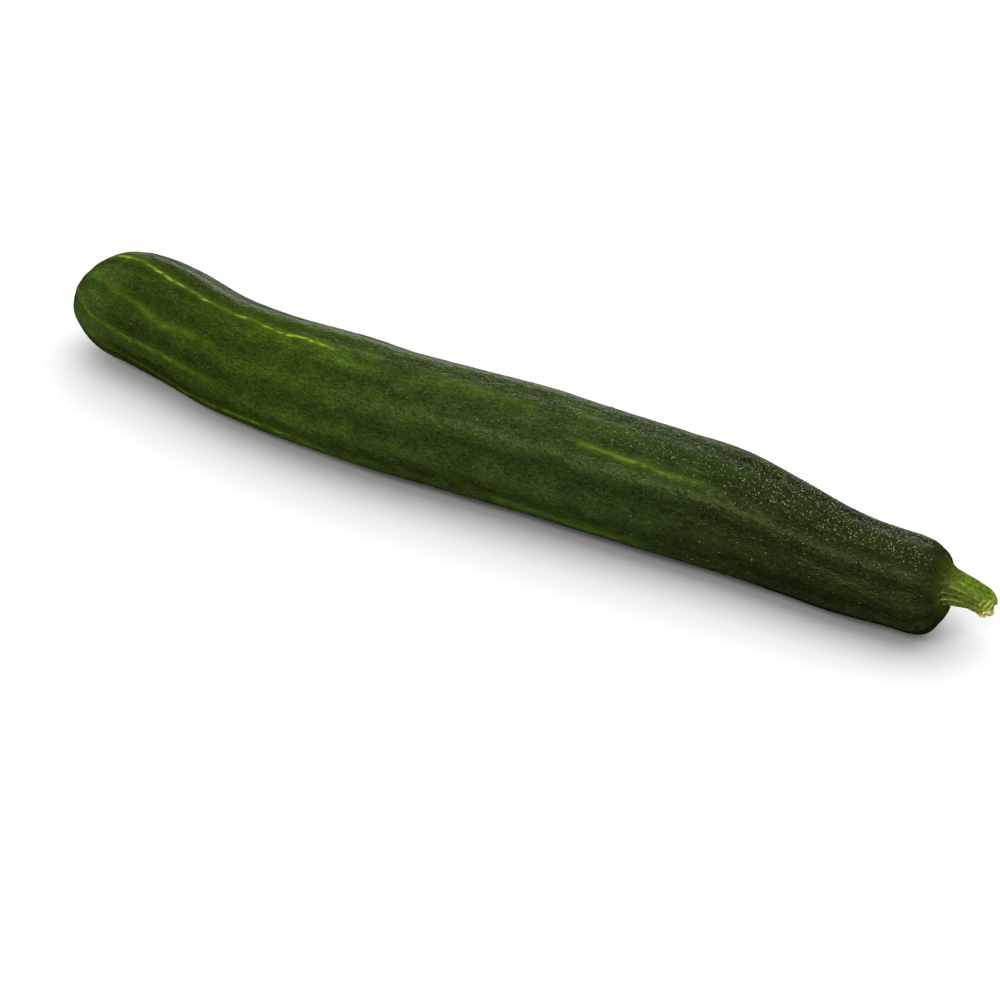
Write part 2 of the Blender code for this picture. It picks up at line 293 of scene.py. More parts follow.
# What the finish follows: places on the skin as if it were unbent, which is "grown", and its features.
grown = np.stack([along_mm, GIRTH_RADIUS_MM * np.cos(degrees * math.pi / 180),
                  GIRTH_RADIUS_MM * np.sin(degrees * math.pi / 180)], axis=2) * MM
grown_layer = skin.data.attributes.new("grown", "FLOAT_VECTOR", "POINT")
grown_layer.data.foreach_set("vector", grown[ring_of, segment_of].ravel())
features = {
    "streak": streak,
    "halo": halo,
    "rib": rib,
    "scar": scar,
    "from_stem": from_root_mm,
    "root_ridge": root_ridge * collar,
}
for feature, values in features.items():
    layer = skin.data.attributes.new(feature, "FLOAT", "POINT")
    layer.data.foreach_set("value", values[ring_of, segment_of].ravel())


def linear(hex_colour):
    """A colour given as an sRGB hex value, as the linear values that a shader takes."""
    parts = [int(hex_colour[i:i + 2], 16) / 255 for i in (1, 3, 5)]
    return tuple(c / 12.92 if c <= 0.04045 else ((c + 0.055) / 1.055) ** 2.4 for c in parts) + (1.0,)


def add_node(material, kind, settings=None, links=None):
    """Add one shader node, with values for its sockets or properties, and sockets linked from other nodes."""
    tree = material.node_tree
    node = tree.nodes.new(kind)
    for name, value in (settings or {}).items():
        if isinstance(name, int) or name in node.inputs:
            node.inputs[name].default_value = value
        else:
            setattr(node, name, value)
    for name, source in (links or {}).items():
        tree.links.new(source, node.inputs[name])
    return node


# Cucumber rind: a glossy cuticle under a dull bloom of wax, index about 1.45. The green is nearly black at
# the stem and milder at the blossom end, with clouded patches, pale pores, dark pits, and yellow-green over
# the veins.
rind = bpy.data.materials.new("waxy_cucumber_rind")
rind.use_nodes = True
rind_shader = rind.node_tree.nodes["Principled BSDF"]
place = add_node(rind, "ShaderNodeAttribute", {"attribute_name": "grown"})
apart = add_node(rind, "ShaderNodeSeparateXYZ", links={0: place.outputs["Vector"]})
share = add_node(rind, "ShaderNodeMapRange", {"From Min": 0.0, "From Max": 0.360},
                 {"Value": apart.outputs["X"]})
ripeness = add_node(rind, "ShaderNodeValToRGB", links={"Fac": share.outputs["Result"]})
ramp = ripeness.color_ramp
ramp.elements[0].position = 0.0
ramp.elements[0].color = linear("#43581e")
ramp.elements[1].position = 1.0
ramp.elements[1].color = linear("#202b10")
GREENS = (
    (0.05, "#394c18"), (0.10, "#27360b"), (0.20, "#2a3a0b"), (0.26, "#2e410b"), (0.33, "#31450e"),
    (0.42, "#2d3e11"), (0.62, "#2a3914"), (0.72, "#243311"), (0.80, "#202c10"), (0.87, "#1b260d"),
)
for where, colour in GREENS:
    stop = ramp.elements.new(where)
    stop.color = linear(colour)
# Clouds about 9 mm long and 4 mm wide, and mottles 1.5 mm long and 0.7 mm wide, both along the fruit.
lengthwise = add_node(rind, "ShaderNodeMapping", {"Scale": (0.45, 1.0, 1.0)},
                      {"Vector": place.outputs["Vector"]})
clouds = add_node(rind, "ShaderNodeTexNoise", {"Scale": 250.0, "Detail": 5.0, "Roughness": 0.62},
                  {"Vector": lengthwise.outputs["Vector"]})
cloud_share = add_node(rind, "ShaderNodeMapRange",
                       {"From Min": 0.35, "From Max": 0.68, "To Min": 0.74, "To Max": 1.26},
                       {"Value": clouds.outputs["Fac"]})
mottles = add_node(rind, "ShaderNodeTexNoise", {"Scale": 1500.0, "Detail": 3.0, "Roughness": 0.6},
                   {"Vector": lengthwise.outputs["Vector"]})
mottle_share = add_node(rind, "ShaderNodeMapRange",
                        {"From Min": 0.36, "From Max": 0.66, "To Min": 0.62, "To Max": 1.55},
                        {"Value": mottles.outputs["Fac"]})
# The ribs' ridges are painted up to a fifth lighter and their furrows up to a fifth darker: painted light and
# shade along the ribs.
rib_height = add_node(rind, "ShaderNodeAttribute", {"attribute_name": "rib"})
rib_painted_light_and_shade = add_node(rind, "ShaderNodeMapRange",
                     {"From Min": -1.0, "From Max": 1.0, "To Min": 0.78, "To Max": 1.22},
                     {"Value": rib_height.outputs["Fac"]})
patchy = add_node(rind, "ShaderNodeMath", {"operation": "MULTIPLY"},
                  {0: cloud_share.outputs["Result"], 1: mottle_share.outputs["Result"]})
tone = add_node(rind, "ShaderNodeMath", {"operation": "MULTIPLY"},
                {0: patchy.outputs["Value"], 1: rib_painted_light_and_shade.outputs["Result"]})
clouded = add_node(rind, "ShaderNodeVectorMath", {"operation": "SCALE"},
                   {0: ripeness.outputs["Color"], "Scale": tone.outputs["Value"]})
# Pores: pale dots 0.4 mm wide, about 1.3 mm apart.
pores = add_node(rind, "ShaderNodeTexVoronoi", {"Scale": 760.0, "Randomness": 1.0},
                 {"Vector": place.outputs["Vector"]})
pore_mask = add_node(rind, "ShaderNodeMapRange",
                     {"From Min": 0.10, "From Max": 0.24, "To Min": 0.22, "To Max": 0.0},
                     {"Value": pores.outputs["Distance"]})
pored = add_node(rind, "ShaderNodeMix", {"data_type": "RGBA", "B": linear("#6f8a3c")},
                 {"Factor": pore_mask.outputs["Result"], "A": clouded.outputs["Vector"]})
# Pits: dark dots 0.5 mm wide, about 1.9 mm apart.
pits = add_node(rind, "ShaderNodeTexVoronoi", {"Scale": 520.0, "Randomness": 1.0},
                {"Vector": place.outputs["Vector"]})
pit_mask = add_node(rind, "ShaderNodeMapRange",
                    {"From Min": 0.11, "From Max": 0.21, "To Min": 0.6, "To Max": 0.0},
                    {"Value": pits.outputs["Distance"]})
pitted = add_node(rind, "ShaderNodeMix", {"data_type": "RGBA", "B": linear("#10180a")},
                  {"Factor": pit_mask.outputs["Result"], "A": pored.outputs[2]})
# The veins: a wide, mild halo, and the streak in the middle of it.
veins = add_node(rind, "ShaderNodeAttribute", {"attribute_name": "halo"})
veined_share = add_node(rind, "ShaderNodeMath", {"operation": "MULTIPLY", 1: 0.40}, {0: veins.outputs["Fac"]})
veined = add_node(rind, "ShaderNodeMix", {"data_type": "RGBA", "B": linear("#4a6412")},
                  {"Factor": veined_share.outputs["Value"], "A": pitted.outputs[2]})
streaks = add_node(rind, "ShaderNodeAttribute", {"attribute_name": "streak"})
streak_colour = add_node(rind, "ShaderNodeValToRGB", links={"Fac": streaks.outputs["Fac"]})
streak_colour.color_ramp.elements[0].position = 0.35
streak_colour.color_ramp.elements[0].color = linear("#5a7a10")
streak_colour.color_ramp.elements[1].position = 1.0
streak_colour.color_ramp.elements[1].color = linear("#90a72a")
streaked = add_node(rind, "ShaderNodeMix", {"data_type": "RGBA"},
                    {"Factor": streaks.outputs["Fac"], "A": veined.outputs[2],
                     "B": streak_colour.outputs["Color"]})
# The shoulder turns olive within 5 mm of the stem's root, and the stem's ridges run out over it.
to_stem = add_node(rind, "ShaderNodeAttribute", {"attribute_name": "from_stem"})
olive_share = add_node(rind, "ShaderNodeMapRange",
                       {"From Min": 7.0, "From Max": 11.8, "To Min": 1.0, "To Max": 0.0,
                        "interpolation_type": "SMOOTHSTEP"},
                       {"Value": to_stem.outputs["Fac"]})
olive = add_node(rind, "ShaderNodeMix", {"data_type": "RGBA", "B": linear("#344306")},
                 {"Factor": olive_share.outputs["Result"], "A": streaked.outputs[2]})
ridges = add_node(rind, "ShaderNodeAttribute", {"attribute_name": "root_ridge"})
ridge_light = add_node(rind, "ShaderNodeMapRange", {"From Min": 0.2, "From Max": 0.9, "To Max": 0.25},
                       {"Value": ridges.outputs["Fac"]})
finished_green = add_node(rind, "ShaderNodeMix", {"data_type": "RGBA", "B": linear("#8c9a3c")},
                          {"Factor": ridge_light.outputs["Result"], "A": olive.outputs[2]})
# The scar of the flower is cork, mottled light and dark in spots about 0.8 mm wide.
scars = add_node(rind, "ShaderNodeAttribute", {"attribute_name": "scar"})
cork_noise = add_node(rind, "ShaderNodeTexNoise", {"Scale": 1300.0, "Detail": 4.0},
                      {"Vector": place.outputs["Vector"]})
cork_colour = add_node(rind, "ShaderNodeValToRGB", links={"Fac": cork_noise.outputs["Fac"]})
cork_colour.color_ramp.elements[0].position = 0.36
cork_colour.color_ramp.elements[0].color = linear("#4d4a20")
cork_colour.color_ramp.elements[1].position = 0.66
cork_colour.color_ramp.elements[1].color = linear("#a3955c")
scarred = add_node(rind, "ShaderNodeMix", {"data_type": "RGBA"},
                   {"Factor": scars.outputs["Fac"], "A": finished_green.outputs[2],
                    "B": cork_colour.outputs["Color"]})
rind.node_tree.links.new(scarred.outputs[2], rind_shader.inputs["Base Color"])
# The wax lies unevenly, in patches about 2.4 mm wide, and the pits are dull.
wax = add_node(rind, "ShaderNodeTexNoise", {"Scale": 420.0, "Detail": 3.0},
               {"Vector": place.outputs["Vector"]})
wax_rough = add_node(rind, "ShaderNodeMapRange", {"To Min": 0.24, "To Max": 0.40},
                     {"Value": wax.outputs["Fac"]})
dull_in_pits = add_node(rind, "ShaderNodeMath", {"operation": "ADD"},
                        {0: wax_rough.outputs["Result"], 1: pit_mask.outputs["Result"]})
rind.node_tree.links.new(dull_in_pits.outputs["Value"], rind_shader.inputs["Roughness"])
rind_shader.inputs["IOR"].default_value = 1.45
rind_shader.inputs["Specular IOR Level"].default_value = 0.35
rind_shader.inputs["Specular Tint"].default_value = linear("#e8ffa8")
# The surface swells softly between its pores, 2 to 4 mm across, and is finely pebbled, in cells about 0.7 mm
# wide, drawn larger than real cells so that they show.
swells = add_node(rind, "ShaderNodeTexNoise", {"Scale": 520.0, "Detail": 2.0, "Roughness": 0.5},
                  {"Vector": lengthwise.outputs["Vector"]})
swell_bump = add_node(rind, "ShaderNodeBump", {"Strength": 0.6, "Distance": 0.0007},
                      {"Height": swells.outputs["Fac"]})
pebbles = add_node(rind, "ShaderNodeTexVoronoi",
                   {"Scale": 1400.0, "feature": "SMOOTH_F1", "Smoothness": 0.6},
                   {"Vector": place.outputs["Vector"]})
grain = add_node(rind, "ShaderNodeTexNoise", {"Scale": 1500.0, "Detail": 3.0},
                 {"Vector": lengthwise.outputs["Vector"]})
roughened = add_node(rind, "ShaderNodeMath", {"operation": "MULTIPLY_ADD", 1: 1.2},
                     {0: grain.outputs["Fac"], 2: pebbles.outputs["Distance"]})
rind_bump = add_node(rind, "ShaderNodeBump", {"Strength": 0.5, "Distance": 0.00018},
                     {"Height": roughened.outputs["Value"], "Normal": swell_bump.outputs["Normal"]})
rind.node_tree.links.new(rind_bump.outputs["Normal"], rind_shader.inputs["Normal"])
skin.data.materials.append(rind)
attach(skin, "root")
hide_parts("fruit")


# The stalk. A stub of the stem that the fruit hung from: fibrous, five-cornered, with fine ridges that run
# out over the shoulder. It flares where it grows from the fruit, hangs over, and was cut off. Its walls dried
# and shrank round the cut, and a plug of pith stands in the middle of it.

STALK_SIDES, STALK_RINGS = 160, 160
STALK_LENGTH_MM = 16.8
STALK_DROOP, STALK_DROOP_POWER = math.radians(85), 3.4
STALK_SWAY_MM = 0.8
STALK_PROFILE_MM = (
    (-2.6, 5.6), (-1.4, 6.5), (-0.5, 6.95), (0.3, 6.95), (1.0, 6.7), (1.8, 6.35), (2.8, 5.95), (5.0, 5.4),
    (7.5, 4.9), (10.0, 4.5), (12.0, 4.4), (13.5, 4.3), (14.8, 3.9), (16.0, 3.3), (16.8, 3.1),
)
STALK_CORNERS, STALK_CORNER_SHARE = 5, 0.085
STALK_RIDGES, STALK_RIDGE_HEIGHT_MM = 15, 0.20
STALK_FIBRES, STALK_FIBRE_HEIGHT_MM = 41, 0.05
PUCKER_HEIGHT_MM = 0.09
CUT_SLANT_MM = -1.7
FRAY_MM, SPLIT_MM = 0.55, 0.45
PITH_HOLLOW_MM, PITH_HEIGHT_MM = 0.5, 0.9
# Creases where the end shrank and folded: each runs across the stalk. Length in mm at its middle, its middle
# angle in degrees, half its spread in degrees, how far it bows in mm, and its height in mm.
CREASE_WIDTH_MM = 0.34
CREASES = (
    (12.6, 152, 30, 1.0, 0.40), (13.9, 140, 52, 1.2, 0.50), (15.2, 134, 60, 1.0, 0.50),
    (16.0, 205, 40, 0.8, 0.40), (14.2, 262, 40, 1.0, 0.35), (15.0, 20, 54, 1.0, 0.45),
    (16.0, 310, 46, 0.9, 0.40),
)


def stalk_line(length_mm):
    """Run, fall and droop angle of the stalk's middle at a distance from its root."""
    steps = 40
    run, fall = min(length_mm, 0.0), 0.0
    grown_mm = max(length_mm, 0.0)
    for step in range(steps):
        droop = STALK_DROOP * (grown_mm * (step + 0.5) / steps / STALK_LENGTH_MM) ** STALK_DROOP_POWER
        run += grown_mm / steps * math.cos(droop)
        fall += grown_mm / steps * math.sin(droop)
    return run, fall, STALK_DROOP * (grown_mm / STALK_LENGTH_MM) ** STALK_DROOP_POWER


def stalk_place(share, angle):
    """A point of the stalk, and what its finish follows there: length in mm, dryness and ridge height."""
    root_end, wall_end = 0.05, 0.80
    profile_s = [row[0] for row in STALK_PROFILE_MM]
    profile_r = [row[1] for row in STALK_PROFILE_MM]
    into_cut = max((share - wall_end) / (1 - wall_end), 0.0)
    up_wall = min(max((share - root_end) / (wall_end - root_end), 0.0), 1.0)
    length_mm = profile_s[0] + (STALK_LENGTH_MM - profile_s[0]) * up_wall
    radius_mm = float(np.interp(length_mm, profile_s, profile_r))
    end_share = min(max(length_mm / STALK_LENGTH_MM, 0.0), 1.0)
    around = Vector((math.cos(angle), math.sin(angle), 0.0))
    wobble = noise.noise(around * 1.5 + Vector((0, 0, length_mm / 6)))
    pucker = noise.noise(around * 3.2 + Vector((0, 0, length_mm / 1.1)))
    corner = STALK_CORNER_SHARE * min(max(length_mm / 4, 0.0), 1.0) * math.cos(STALK_CORNERS * angle)
    broken = noise.noise(around * 2.4 + Vector((0, 9, length_mm / 4)))
    plain_on_top = 0.75 * max(math.sin(angle) - 0.15, 0.0)
    shows = min(max(0.95 + 1.0 * broken - plain_on_top, 0.0), 1.0)
    ridge = math.cos(STALK_RIDGES * angle + 2.4 * wobble) * shows
    fibre = math.cos(STALK_FIBRES * angle + 3.0 * wobble)
    crease = 0.0
    for middle_mm, middle_degrees, spread, bow_mm, height_mm in CREASES:
        turned = (math.degrees(angle) - middle_degrees + 180) % 360 - 180
        if abs(turned) < spread:
            line_mm = middle_mm + bow_mm * (turned / spread) ** 2 + 0.15 * pucker
            fade = math.cos(turned / spread * math.pi / 2)
            crease += height_mm * fade * math.exp(-(((length_mm - line_mm) / CREASE_WIDTH_MM) ** 2))
    radius_mm *= 1 + corner
    ridged_mm = STALK_RIDGE_HEIGHT_MM * ridge * (1 - 0.5 * end_share) + STALK_FIBRE_HEIGHT_MM * fibre
    radius_mm += ridged_mm + PUCKER_HEIGHT_MM * pucker * (0.4 + end_share) + crease
    if share < root_end:
        radius_mm *= share / root_end
    radius_mm *= 1 - into_cut
    frayed = noise.noise(around * 5.0 + Vector((3.0, 0, into_cut * 3)))
    split = noise.noise(around * 11.0 + Vector((0, 5, into_cut * 9)))
    up = math.sin(angle)
    at_cut = end_share**8
    s_mm = length_mm + (CUT_SLANT_MM * up * (1 - into_cut) + FRAY_MM * frayed + SPLIT_MM * split) * at_cut
    s_mm -= PITH_HOLLOW_MM * math.sin(math.pi * min(into_cut * 1.8, 1.0))
    s_mm += PITH_HEIGHT_MM * (1 + frayed) * min(max((into_cut - 0.30) / 0.25, 0.0), 1.0) * at_cut
    run, fall, droop = stalk_line(s_mm)
    sway_mm = STALK_SWAY_MM * (max(s_mm, 0.0) / STALK_LENGTH_MM) ** 2
    x = stem_root.x + (run + radius_mm * up * math.sin(droop)) * MM
    y = stem_root.y + (radius_mm * math.cos(angle) + sway_mm) * MM
    z = stem_root.z + (-fall + radius_mm * up * math.cos(droop)) * MM
    return (x, y, z), (length_mm, into_cut, max(0.75 * ridge * (1 - 0.6 * end_share), crease * 2.6))


deselect_everything()
bpy.ops.mesh.primitive_uv_sphere_add(segments=STALK_SIDES, ring_count=STALK_RINGS, radius=1.0)
stalk = bpy.context.object
stalk.name = "stalk"
facts = []
spots = []
for vertex in stalk.data.vertices:
    share = math.acos(min(max(-vertex.co.z, -1.0), 1.0)) / math.pi
    spot, fact = stalk_place(share, math.atan2(vertex.co.y, vertex.co.x))
    spots.append(spot)
    facts.append(fact)
stalk.data.vertices.foreach_set("co", np.array(spots).ravel())
stalk.data.update()
bpy.ops.object.shade_smooth()
facts_layer = stalk.data.attributes.new("stalk_facts", "FLOAT_VECTOR", "POINT")
facts_layer.data.foreach_set("vector", np.array(facts, np.float32).ravel())

# Cucumber stalk: living fibre under a thin hairless bark, satin, olive green with paler ridges. Its cut end
# has dried to straw yellow and tan, dull and papery.
bark = bpy.data.materials.new("green_stalk_bark")
bark.use_nodes = True
bark_shader = bark.node_tree.nodes["Principled BSDF"]
fact = add_node(bark, "ShaderNodeAttribute", {"attribute_name": "stalk_facts"})
fact_parts = add_node(bark, "ShaderNodeSeparateXYZ", links={0: fact.outputs["Vector"]})
object_place = add_node(bark, "ShaderNodeTexCoord")
along_stalk = add_node(bark, "ShaderNodeMapRange", {"From Min": 0.0, "From Max": STALK_LENGTH_MM},
                       {"Value": fact_parts.outputs["X"]})
stalk_colour = add_node(bark, "ShaderNodeValToRGB", links={"Fac": along_stalk.outputs["Result"]})
ramp = stalk_colour.color_ramp
ramp.elements[0].position = 0.0
ramp.elements[0].color = linear("#344208")
ramp.elements[1].position = 1.0
ramp.elements[1].color = linear("#33250c")
STALK_GREENS = (
    (0.06, "#3b4b08"), (0.16, "#455809"), (0.32, "#526a0a"), (0.75, "#5b710d"), (0.88, "#7f8a26"),
    (0.95, "#94862e"),
)
for where, colour in STALK_GREENS:
    stop = ramp.elements.new(where)
    stop.color = linear(colour)
ridge_share = add_node(bark, "ShaderNodeMapRange", {"From Min": 0.2, "From Max": 1.1, "To Max": 0.8},
                       {"Value": fact_parts.outputs["Z"]})
ridged = add_node(bark, "ShaderNodeMix", {"data_type": "RGBA", "B": linear("#b6c058")},
                  {"Factor": ridge_share.outputs["Result"], "A": stalk_colour.outputs["Color"]})
# Patches of darker and yellower bark, about 1 mm wide.
patches = add_node(bark, "ShaderNodeTexNoise", {"Scale": 1000.0, "Detail": 4.0, "Roughness": 0.65},
                   {"Vector": object_place.outputs["Object"]})
patch_share = add_node(bark, "ShaderNodeMapRange",
                       {"From Min": 0.36, "From Max": 0.66, "To Min": 0.5, "To Max": 1.4},
                       {"Value": patches.outputs["Fac"]})
patched = add_node(bark, "ShaderNodeVectorMath", {"operation": "SCALE"},
                   {0: ridged.outputs[2], "Scale": patch_share.outputs["Result"]})
# The dried cut: walls and pith mottled tan and brown, in spots about 0.7 mm wide.
dry_noise = add_node(bark, "ShaderNodeTexNoise", {"Scale": 1500.0, "Detail": 3.0},
                     {"Vector": object_place.outputs["Object"]})
dry_colour = add_node(bark, "ShaderNodeValToRGB", links={"Fac": dry_noise.outputs["Fac"]})
dry_colour.color_ramp.elements[0].position = 0.38
dry_colour.color_ramp.elements[0].color = linear("#5c3d14")
dry_colour.color_ramp.elements[1].position = 0.60
dry_colour.color_ramp.elements[1].color = linear("#dcac58")
dry_share = add_node(bark, "ShaderNodeMapRange", {"From Min": 0.0, "From Max": 0.06},
                     {"Value": fact_parts.outputs["Y"]})
stalk_finish = add_node(bark, "ShaderNodeMix", {"data_type": "RGBA"},
                        {"Factor": dry_share.outputs["Result"], "A": patched.outputs["Vector"],
                         "B": dry_colour.outputs["Color"]})
bark.node_tree.links.new(stalk_finish.outputs[2], bark_shader.inputs["Base Color"])
bark_shader.inputs["Roughness"].default_value = 0.42
bark_shader.inputs["IOR"].default_value = 1.45
bark_shader.inputs["Specular IOR Level"].default_value = 0.35
bark_bump = add_node(bark, "ShaderNodeBump", {"Strength": 0.5, "Distance": 0.0002},
                     {"Height": patches.outputs["Fac"]})
bark.node_tree.links.new(bark_bump.outputs["Normal"], bark_shader.inputs["Normal"])
stalk.data.materials.append(bark)
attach(stalk, "root")
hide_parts("stem")


# The curls. Where the stalk was cut, its skin dried faster than its core and curled over the lower edge in
# small loops. One loop is modelled and copied round that edge, each copy turned and stretched a little
# otherwise.

CURL_SEED = 3
CURLS = 11
CURLS_FROM_DEGREES, CURLS_OVER_DEGREES = 150, 190
CURL_RADIUS_MM, CURL_THICKNESS_MM, CURL_LUMP_MM = 1.0, 0.32, 0.28
CUT_EDGE_RADIUS_MM = 3.25
curl_draw = np.random.default_rng(CURL_SEED)

deselect_everything()
bpy.ops.mesh.primitive_torus_add(
    major_radius=CURL_RADIUS_MM * MM,
    minor_radius=CURL_THICKNESS_MM * MM,
    major_segments=24,
    minor_segments=8,
)
one_curl = bpy.context.object
# A vector noise takes its offsets from the clock unless it is seeded.
noise.seed_set(CURL_SEED)
for vertex in one_curl.data.vertices:
    lump = noise.noise_vector(vertex.co / MM * 1.6)
    vertex.co += lump * CURL_LUMP_MM * MM
bpy.ops.object.shade_smooth()
curl_parts = []
for number in range(CURLS):
    turned = CURLS_FROM_DEGREES + CURLS_OVER_DEGREES * number / (CURLS - 1)
    angle = math.radians(turned) + curl_draw.uniform(-0.12, 0.12)
    up = math.sin(angle)
    edge_mm = CUT_EDGE_RADIUS_MM + curl_draw.uniform(-0.2, 0.3)
    s_mm = STALK_LENGTH_MM - 0.1 + CUT_SLANT_MM * up * 0.9 + curl_draw.uniform(-0.4, 0.5)
    run, fall, droop = stalk_line(s_mm)
    curl = one_curl.copy()
    curl.data = one_curl.data.copy()
    bpy.context.scene.collection.objects.link(curl)
    outward = Vector((up * math.sin(droop), math.cos(angle), up * math.cos(droop)))
    onward = Vector((math.cos(droop), 0.0, -math.sin(droop)))
    face = (outward * curl_draw.uniform(0.7, 1.0) + onward * curl_draw.uniform(0.1, 0.9)).normalized()
    curl.rotation_euler = face.to_track_quat("Z", "Y").to_euler()
    curl.location = stem_root + Vector((run, STALK_SWAY_MM, -fall)) * MM + outward * edge_mm * MM
    curl.scale = (curl_draw.uniform(0.9, 1.3), curl_draw.uniform(0.8, 1.2), 1.15)
    curl_parts.append(curl)
bpy.data.objects.remove(one_curl, do_unlink=True)
deselect_everything()
for curl in curl_parts:
    curl.select_set(True)
bpy.context.view_layer.objects.active = curl_parts[0]
bpy.ops.object.transform_apply(location=True, rotation=True, scale=True)
bpy.ops.object.join()
curls = bpy.context.object
curls.name = "cut_curls"
bpy.ops.object.origin_set(type="ORIGIN_CURSOR")

# Dried stalk skin: dull, fibrous, pale straw going to a greener yellow, in patches about 1 mm wide.
straw = bpy.data.materials.new("dried_stalk_straw")
straw.use_nodes = True
straw_shader = straw.node_tree.nodes["Principled BSDF"]
straw_place = add_node(straw, "ShaderNodeTexCoord")
straw_noise = add_node(straw, "ShaderNodeTexNoise", {"Scale": 900.0, "Detail": 3.0},
                       {"Vector": straw_place.outputs["Object"]})
straw_colour = add_node(straw, "ShaderNodeValToRGB", links={"Fac": straw_noise.outputs["Fac"]})
straw_colour.color_ramp.elements[0].position = 0.36
straw_colour.color_ramp.elements[0].color = linear("#a08a26")
straw_colour.color_ramp.elements[1].position = 0.62
straw_colour.color_ramp.elements[1].color = linear("#f6ee9c")
straw.node_tree.links.new(straw_colour.outputs["Color"], straw_shader.inputs["Base Color"])
straw_shader.inputs["Roughness"].default_value = 0.6
straw_shader.inputs["IOR"].default_value = 1.5
curls.data.materials.append(straw)
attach(curls, "root")


# The water. Condensation stands on the wax as fine dew with a few larger drops, dense on the top of the stem
# half and sparse elsewhere. Each is a shallow dome, held up by its own surface tension. One dome of each kind
# is modelled and copied to its place and size.

DEW_SEED = 7
# How far drops stray past the bounds of their group.
STRAY_MM, STRAY_DEGREES = 3.5, 5.0
# Number, along in mm from and to, angle in degrees from and to, radius in mm from and to.
DEW_GROUPS = (
    (620, (292, 352), (58, 120), (0.12, 0.20)), (330, (252, 296), (62, 116), (0.12, 0.20)),
    (260, (286, 350), (58, 120), (0.19, 0.28)), (120, (240, 290), (60, 116), (0.18, 0.27)),
    (220, (196, 254), (62, 116), (0.12, 0.21)), (90, (120, 200), (66, 150), (0.12, 0.22)),
    (80, (10, 125), (70, 190), (0.12, 0.20)), (90, (250, 345), (122, 146), (0.12, 0.22)),
    (24, (250, 356), (150, 225), (0.14, 0.28)), (620, (200, 352), (-10, 56), (0.12, 0.22)),
    (160, (20, 330), (-60, 56), (0.12, 0.22)),
)
DROP_GROUPS = (
    (70, (296, 348), (64, 122), (0.24, 0.46)), (60, (236, 300), (66, 124), (0.24, 0.46)),
    (260, (262, 342), (124, 144), (0.20, 0.40)), (24, (150, 236), (70, 130), (0.30, 0.55)),
    (12, (20, 150), (76, 160), (0.25, 0.42)), (60, (200, 350), (-20, 64), (0.26, 0.5)),
)
draw = np.random.default_rng(DEW_SEED)
skin_tree = BVHTree.FromObject(skin, bpy.context.evaluated_depsgraph_get())


def scatter_domes(name, groups, segments, rings, height):
    """Domes of water that stand on the skin, as copies of one dome in a single mesh."""
    deselect_everything()
    bpy.ops.mesh.primitive_uv_sphere_add(segments=segments, ring_count=rings, radius=1.0)
    bpy.ops.object.mode_set(mode="EDIT")
    bpy.ops.mesh.select_all(action="SELECT")
    bpy.ops.mesh.bisect(plane_co=(0, 0, -0.1), plane_no=(0, 0, 1), use_fill=True, clear_inner=True)
    bpy.ops.object.mode_set(mode="OBJECT")
    dome = bpy.context.object
    dome_points = np.array([vertex.co for vertex in dome.data.vertices])
    dome_points[:, 2] *= height
    dome_faces = [tuple(face.vertices) for face in dome.data.polygons]
    bpy.data.objects.remove(dome, do_unlink=True)
    points, faces = [], []
    for count, along_range, angle_range, radius_range in groups:
        for _ in range(count):
            along = (draw.uniform(*along_range) + draw.normal(0.0, STRAY_MM)) * MM + tip_x
            angle = math.radians(draw.uniform(*angle_range) + draw.normal(0.0, STRAY_DEGREES))
            start = Vector((along, np.interp(along, ring_x, ring_y), np.interp(along, ring_x, ring_z)))
            outward = Vector((0, math.cos(angle), math.sin(angle)))
            hit, normal, _, _ = skin_tree.ray_cast(start, outward)
            if hit is None:
                continue
            radius = radius_range[0] + (radius_range[1] - radius_range[0]) * draw.random() ** 2
            turn = np.array(normal.to_track_quat("Z", "Y").to_matrix())
            stretch = np.array([draw.uniform(0.85, 1.2), draw.uniform(0.85, 1.2), 1.0])
            placed = (dome_points * stretch * radius * MM) @ turn.T + np.array(hit)
            faces += [tuple(index + len(points) for index in face_points) for face_points in dome_faces]
            points += [tuple(point) for point in placed]
    mesh = bpy.data.meshes.new(name)
    mesh.from_pydata(points, [], faces)
    mesh.validate()
    mesh.shade_smooth()
    domes = bpy.data.objects.new(name, mesh)
    bpy.context.scene.collection.objects.link(domes)
    return domes


dew = scatter_domes("fine_dew", DEW_GROUPS, 8, 6, 0.7)
drops = scatter_domes("water_drops", DROP_GROUPS, 14, 10, 0.6)

# Fine dew: water, index 1.333, given a pale base colour and only part transmission, so that each drop shows
# as a pale dot: painted glints.
dew_glint_material = bpy.data.materials.new("fine_dew_painted_glints")
dew_glint_material.use_nodes = True
dew_shader = dew_glint_material.node_tree.nodes["Principled BSDF"]
dew_shader.inputs["Base Color"].default_value = linear("#bdd292")
dew_shader.inputs["Transmission Weight"].default_value = 0.6
dew_shader.inputs["Roughness"].default_value = 0.12
dew_shader.inputs["IOR"].default_value = 1.333
dew.data.materials.append(dew_glint_material)
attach(dew, "root")

# Water drops: clear and smooth, index 1.333.
water = bpy.data.materials.new("clear_water")
water.use_nodes = True
water_shader = water.node_tree.nodes["Principled BSDF"]
water_shader.inputs["Base Color"].default_value = (1.0, 1.0, 1.0, 1.0)
water_shader.inputs["Transmission Weight"].default_value = 1.0
water_shader.inputs["Roughness"].default_value = 0.03
water_shader.inputs["IOR"].default_value = 1.333
drops.data.materials.append(water)
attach(drops, "root")


# The table, a plain sheet of matt white board, and the studio. A wide soft light overhead lights the whole.
# Three small ones are the only things mirrored in the skin, and give it its sheen: a long strip low behind it
# and a short one above that for the rim, and one in front for the flank.

